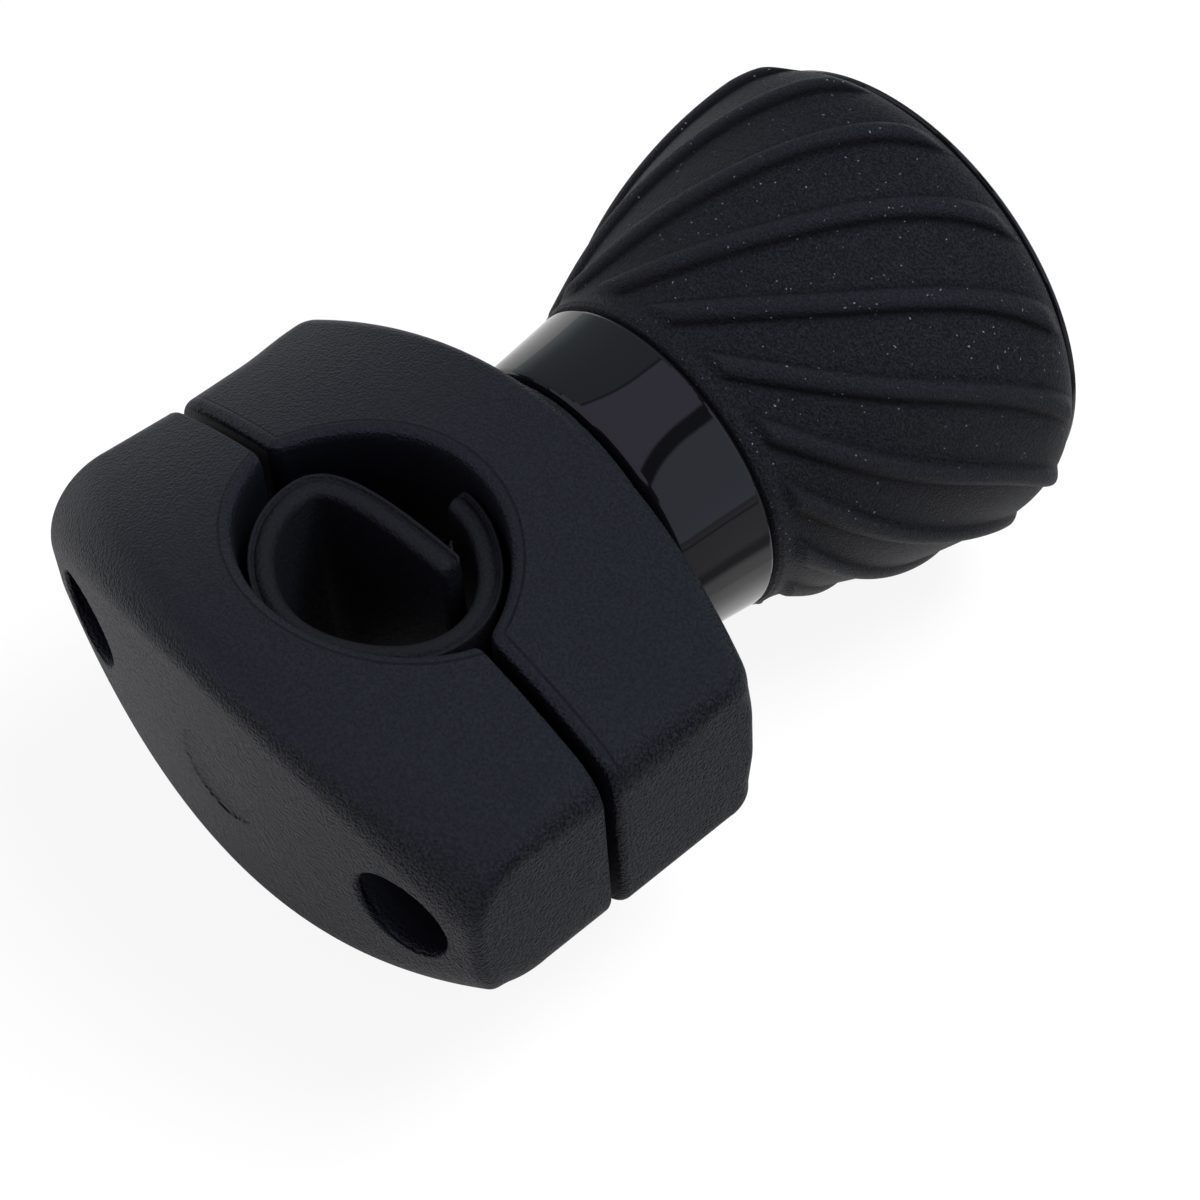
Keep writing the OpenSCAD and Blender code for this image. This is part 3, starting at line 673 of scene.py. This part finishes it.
HOUSING = srgb(20, 22, 27)
GRIP_RUBBER = srgb(21, 22, 26)
DUST = srgb(100, 102, 106)
LINER = srgb(20, 21, 25)
LINER_DARK = srgb(10, 11, 13)
LINER_LIGHT = srgb(26, 27, 31)
# Painted shade of the liner down in the bore
LINER_SHADE = srgb(2, 3, 3)
GLOSS = srgb(9, 9, 12)
STEEL = srgb(190, 192, 196)
BEARING_STEEL = srgb(200, 202, 206)
CAGE = srgb(176, 160, 120)
BRIGHT_DISC = srgb(222, 224, 228)


class Wiring:
    """Adds nodes to a tree. Each method gives the new node's output, and takes numbers or other outputs."""

    def __init__(self, tree):
        self.nodes = tree.nodes
        self.links = tree.links

    def feed(self, socket, value):
        if isinstance(value, (int, float)):
            socket.default_value = value
        elif isinstance(value, tuple):
            socket.default_value = (*value, 1)
        else:
            self.links.new(value, socket)

    def math(self, operation, *inputs):
        node = self.nodes.new("ShaderNodeMath")
        node.operation = operation
        for socket, value in zip(node.inputs, inputs):
            self.feed(socket, value)
        return node.outputs[0]

    def times(self, a, b):
        return self.math("MULTIPLY", a, b)

    def plus(self, a, b):
        return self.math("ADD", a, b)

    def ramp(self, value, over, to):
        """A smooth change between two numbers while the value goes over a span."""
        node = self.nodes.new("ShaderNodeMapRange")
        node.interpolation_type = "SMOOTHSTEP"
        for key, number in zip(("From Min", "From Max", "To Min", "To Max"), (*over, *to)):
            node.inputs[key].default_value = number
        self.links.new(value, node.inputs["Value"])
        return node.outputs["Result"]

    def place(self, system="Object"):
        return self.nodes.new("ShaderNodeTexCoord").outputs[system]

    def apart(self, vector):
        """The X, Y and Z of a vector."""
        node = self.nodes.new("ShaderNodeSeparateXYZ")
        self.links.new(vector, node.inputs[0])
        return node.outputs

    def noise(self, scale, detail=2.0, roughness=0.5, distortion=0.0):
        node = self.nodes.new("ShaderNodeTexNoise")
        node.inputs["Scale"].default_value = scale
        node.inputs["Detail"].default_value = detail
        node.inputs["Roughness"].default_value = roughness
        node.inputs["Distortion"].default_value = distortion
        self.links.new(self.place(), node.inputs["Vector"])
        return node.outputs["Fac"]

    def attribute(self, name):
        node = self.nodes.new("ShaderNodeAttribute")
        node.attribute_name = name
        return node.outputs["Fac"]

    def mix(self, share, low, high):
        """A mix of two colours."""
        node = self.nodes.new("ShaderNodeMix")
        node.data_type = "RGBA"
        self.feed(node.inputs["A"], low)
        self.feed(node.inputs["B"], high)
        self.links.new(share, node.inputs["Factor"])
        return node.outputs["Result"]

    def bump(self, shader, height, distance, strength=1.0):
        node = self.nodes.new("ShaderNodeBump")
        node.inputs["Strength"].default_value = strength
        node.inputs["Distance"].default_value = distance
        self.links.new(height, node.inputs["Height"])
        self.links.new(node.outputs["Normal"], shader.inputs["Normal"])

    def colour(self, shader, value):
        self.links.new(value, shader.inputs["Base Color"])


def new_material(name, colour, roughness, **sockets):
    """A material, its wiring and its shader, with further sockets set to numbers by name."""
    mat = bpy.data.materials.new(name)
    mat.use_nodes = True
    shader = mat.node_tree.nodes["Principled BSDF"]
    shader.inputs["Base Color"].default_value = (*colour, 1)
    shader.inputs["Roughness"].default_value = roughness
    for key, value in sockets.items():
        shader.inputs[key.replace("_", " ")].default_value = value
    mat.diffuse_color = (*colour, 1)
    return mat, Wiring(mat.node_tree), shader


def housing_material():
    """Dark grey moulded plastic with a fine eroded grain, a fine step line along the band, and painted shade
    deep inside.
    """
    mat, wire, shader = new_material("housing", HOUSING, 0.5, Specular_IOR_Level=0.22)
    grain = wire.noise(scale=2900, detail=1.5, distortion=0.3)
    coarse = wire.attribute("coarse")
    depth = wire.attribute("depth")
    line = wire.ramp(wire.math("ABSOLUTE", wire.attribute("band")), over=(0.0, 0.25), to=(1.0, 0.0))
    rise = wire.times(wire.ramp(coarse, over=(0.0, 1.0), to=(1.2, 7.0)),
                      wire.ramp(depth, over=(0.5, 2.5), to=(1.0, 0.0)))
    wire.bump(shader, wire.math("MULTIPLY_ADD", line, -0.8, wire.times(grain, rise)), distance=0.0002)
    # The grain's pits are darker and its tops lighter, the step line is dark, and what lies deep below the
    # outer surface is darkened with painted shade
    dark = wire.mix(coarse, tinted(HOUSING, 0.75), tinted(HOUSING, 0.0))
    light = wire.mix(coarse, tinted(HOUSING, 1.25), tinted(HOUSING, 2.0))
    speckle = wire.mix(wire.ramp(grain, over=(0.32, 0.68), to=(0.0, 1.0)), dark, light)
    lined = wire.mix(wire.times(line, 0.8), speckle, tinted(HOUSING, 0.3))
    # Painted shade: the colour darkens the deeper a point lies below the clamp's outer surface
    painted_shade = wire.ramp(depth, over=(0.8, 4.0), to=(0.0, 0.55))
    wire.colour(shader, wire.mix(painted_shade, lined, tinted(HOUSING, 0.1)))
    return mat


def grip_material():
    """Soft black rubber with a wrinkled grain, painted shade at the ribs' feet, a painted highlight on their
    crests, and specks of dust that catch the light.
    """
    mat, wire, shader = new_material("grip_rubber", GRIP_RUBBER, 0.55, Specular_IOR_Level=0.18)
    grain = wire.noise(scale=3500, distortion=0.4)
    wrinkles = wire.noise(scale=900, distortion=1.2)
    wire.bump(shader, wire.math("MULTIPLY_ADD", wrinkles, 0.5, grain), distance=0.00036)
    # A mottle from the grain, painted shade at the ribs' feet and a painted highlight on their crests, and
    # the dust
    mottle = wire.mix(wire.ramp(grain, over=(0.35, 0.65), to=(0.0, 1.0)),
                      tinted(GRIP_RUBBER, 0.45), tinted(GRIP_RUBBER, 1.5))
    shaded = wire.mix(wire.times(wire.attribute("foot"), 0.9), mottle, tinted(GRIP_RUBBER, 0.05))
    crest_lit = wire.mix(wire.times(wire.attribute("crest_highlight"), 0.28), shaded, tinted(GRIP_RUBBER, 2.0))
    specks = wire.ramp(wire.noise(scale=2600, detail=0.0), over=(0.81, 0.86), to=(0.0, 1.0))
    wire.colour(shader, wire.mix(specks, crest_lit, DUST))
    return mat


def liner_material():
    """Matt rubber with a plain grain, and painted shade that darkens it down in the bore."""
    mat, wire, shader = new_material("liner_rubber", LINER, 0.5, Specular_IOR_Level=0.2)
    grain = wire.noise(scale=2000, detail=3.0, roughness=0.6)
    wire.bump(shader, grain, distance=0.00025, strength=0.9)
    # Painted shade: darker the further down in the bore
    painted_shade = wire.ramp(wire.attribute("depth"), over=(1.5, 7.0), to=(0.0, 0.85))
    wire.colour(shader, wire.mix(painted_shade, wire.mix(grain, LINER_DARK, LINER_LIGHT), LINER_SHADE))
    return mat


def gloss_material():
    """Polished black, with the neck's soft fall towards the clamp and a faint wave in what it mirrors."""
    mat, wire, shader = new_material("gloss_black", GLOSS, 0.05)
    along = wire.apart(wire.place())["Y"]
    short = wire.math("MAXIMUM", wire.math("SUBTRACT", NECK_FALL_FROM, along), 0.0)
    fall = wire.times(wire.math("POWER", short, 3.0), -NECK_FALL)
    wave = wire.times(wire.noise(scale=60, detail=1.0), NECK_WAVE)
    wire.bump(shader, wire.plus(fall, wave), distance=1.0)
    return mat


def metal_material(name, colour, roughness, scale):
    mat, wire, shader = new_material(name, colour, roughness, Metallic=1.0)
    texture = wire.noise(scale)
    wire.colour(shader, wire.mix(texture, tinted(colour, 0.9), colour))
    wire.bump(shader, texture, distance=0.00003, strength=0.1)
    return mat


def dress(obj, mat):
    obj.data.materials.clear()
    obj.data.materials.append(mat)


# Light and background

def camera():
    data = bpy.data.cameras.new("camera")
    data.lens = CAMERA_LENS
    data.sensor_width = CAMERA_SENSOR
    data.clip_start = 0.01
    data.clip_end = 20
    obj = bpy.data.objects.new("camera", data)
    bpy.context.scene.collection.objects.link(obj)
    right, down, forward = (Vector(v) for v in (CAMERA_RIGHT, CAMERA_DOWN, CAMERA_FORWARD))
    turn = Matrix((right, -down, -forward)).transposed().to_4x4()
    obj.matrix_world = Matrix.Translation(Vector(CAMERA_PLACE) * MM) @ turn
    bpy.context.scene.camera = obj


def area_light(name, place, target, size, power):
    """Soft lamp that lights the object but leaves no mirror image of itself in the polished neck."""
    data = bpy.data.lights.new(name, "AREA")
    data.size = size
    data.energy = power
    obj = bpy.data.objects.new(name, data)
    bpy.context.scene.collection.objects.link(obj)
    obj.location = place
    obj.rotation_euler = (Vector(target) - Vector(place)).to_track_quat("-Z", "Y").to_euler()
    obj.visible_glossy = False


def beyond_line(wire, towards, place, lean):
    """How far a direction lies beyond a line across the sky that leans with Y."""
    return wire.plus(towards["X"], wire.math("MULTIPLY_ADD", towards["Y"], -lean, -place))


def dark_line(wire, towards, place, lean, half_width, soft, depth):
    """A dim stretch across the sky, as a factor to multiply the light by."""
    away = wire.math("ABSOLUTE", beyond_line(wire, towards, place, lean))
    return wire.ramp(away, over=(half_width, half_width + soft), to=(depth, 1.0))


def world_light():
    """White for the camera and low down, dimmer above, with a few dim stretches that the neck mirrors."""
    world = bpy.data.worlds.new("studio")
    bpy.context.scene.world = world
    world.use_nodes = True
    nodes, links = world.node_tree.nodes, world.node_tree.links
    nodes.clear()
    wire = Wiring(world.node_tree)
    towards = wire.apart(wire.place("Generated"))
    low = wire.ramp(towards["Z"], over=(-0.05, 0.3), to=(1.0 - SKY_LEVEL, 0.0))
    away = wire.ramp(towards["X"], over=(0.2, 0.6), to=(1.0, 0.05))
    level = wire.math("MULTIPLY_ADD", low, away, SKY_LEVEL)
    for line in SKY_LINES:
        level = wire.times(level, dark_line(wire, towards, *line))
    tint = SKY_FIRST_TINT
    for place, lean, colour in SKY_TINTS:
        beyond = wire.ramp(beyond_line(wire, towards, place, lean), over=(-0.02, 0.02), to=(0.0, 1.0))
        tint = wire.mix(beyond, tint, colour)
    light = nodes.new("ShaderNodeBackground")
    links.new(level, light.inputs["Strength"])
    links.new(tint, light.inputs["Color"])
    plain = nodes.new("ShaderNodeBackground")
    plain.inputs["Color"].default_value = (1, 1, 1, 1)
    plain.inputs["Strength"].default_value = 1.0
    mix = nodes.new("ShaderNodeMixShader")
    links.new(nodes.new("ShaderNodeLightPath").outputs["Is Camera Ray"], mix.inputs["Fac"])
    links.new(light.outputs[0], mix.inputs[1])
    links.new(plain.outputs[0], mix.inputs[2])
    out = nodes.new("ShaderNodeOutputWorld")
    links.new(mix.outputs[0], out.inputs["Surface"])


def mirrored_level(wire):
    """The floor's level for what mirrors it: stripes along X, with a painted shadow under the bore."""
    where = wire.place()
    stripes = wire.nodes.new("ShaderNodeValToRGB")
    wire.links.new(wire.math("DIVIDE", wire.apart(where)["X"], STRIPES_LENGTH), stripes.inputs["Fac"])
    elements = stripes.color_ramp.elements
    while len(elements) < len(FLOOR_STRIPES):
        elements.new(1.0)
    for element, (place, level) in zip(elements, FLOOR_STRIPES):
        element.position = place / STRIPES_LENGTH
        element.color = (level, level, level, 1)
    reach = wire.nodes.new("ShaderNodeVectorMath")
    reach.operation = "LENGTH"
    wire.links.new(where, reach.inputs[0])
    # Painted shadow: the mirrored floor darkens close under the bore
    painted_shadow = wire.ramp(reach.outputs["Value"], over=CONTACT_REACH, to=(0.05, 1.0))
    return wire.times(stripes.outputs["Color"], painted_shadow)


def floor(height):
    """Pale floor that shows as white but keeps a soft shadow, and dims further out for what mirrors it."""
    mesh = bpy.data.meshes.new("floor")
    r = FLOOR_HALF
    mesh.from_pydata([(-r, -r, 0), (r, -r, 0), (r, r, 0), (-r, r, 0)], [], [(0, 1, 2, 3)])
    obj = bpy.data.objects.new("floor", mesh)
    obj.location.z = height
    bpy.context.scene.collection.objects.link(obj)
    mat = bpy.data.materials.new("floor")
    mat.use_nodes = True
    nodes, links = mat.node_tree.nodes, mat.node_tree.links
    nodes.clear()
    wire = Wiring(mat.node_tree)
    diffuse = nodes.new("ShaderNodeBsdfDiffuse")
    diffuse.inputs["Color"].default_value = FLOOR_COLOUR
    ray = nodes.new("ShaderNodeLightPath").outputs
    mirrored = wire.times(mirrored_level(wire), ray["Is Glossy Ray"])
    glow = nodes.new("ShaderNodeEmission")
    links.new(wire.plus(mirrored, ray["Is Camera Ray"]), glow.inputs["Strength"])
    seen = wire.math("MAXIMUM", ray["Is Camera Ray"], ray["Is Glossy Ray"])
    seen = wire.math("MAXIMUM", seen, ray["Is Transmission Ray"])
    mix = nodes.new("ShaderNodeMixShader")
    links.new(wire.times(seen, FLOOR_GLOW), mix.inputs["Fac"])
    links.new(diffuse.outputs[0], mix.inputs[1])
    links.new(glow.outputs[0], mix.inputs[2])
    out = nodes.new("ShaderNodeOutputMaterial")
    links.new(mix.outputs[0], out.inputs["Surface"])
    obj.data.materials.append(mat)


def build():
    """Every node gets its finish, and the pieces with finer shapes replace theirs."""
    finishes = {
        "housing": housing_material(),
        "gloss_black": gloss_material(),
        "steel": metal_material("steel", STEEL, roughness=0.32, scale=900),
        "bearing_steel": metal_material("bearing_steel", BEARING_STEEL, roughness=0.2, scale=500),
        "cage": metal_material("cage", CAGE, roughness=0.35, scale=700),
        "bright_disc": metal_material("bright_disc", BRIGHT_DISC, roughness=0.22, scale=400),
        "grip_rubber": grip_material(),
        "liner_rubber": liner_material(),
    }
    for part in frame["record"]["subparts"]:
        dress(NODES[part["node"]], finishes[part["material_slot"]])
    for obj, node, body, slot in (
            (clamp_cap(), "clamp_cap", "clamp_cap", "housing"),
            (clamp_base(), "clamp_base", "clamp_base", "housing"),
            (grip_sleeve(), "grip_sleeve", "knob", "grip_rubber"),
            (face_disc(), "face_disc", "knob", "bright_disc"),
            (rim_liner(), "rim_liner", "clamp_cap", "liner_rubber")):
        dress(obj, finishes[slot])
        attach(obj, body)
        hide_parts(node)


bpy.context.scene.view_settings.view_transform = "Standard"
camera()
build()
world_light()
lowest = cad_box[0][2]
floor(lowest - FLOOR_GAP)
area_light("key", LAMP_PLACE, LAMP_TARGET, LAMP_SIZE, LAMP_POWER)
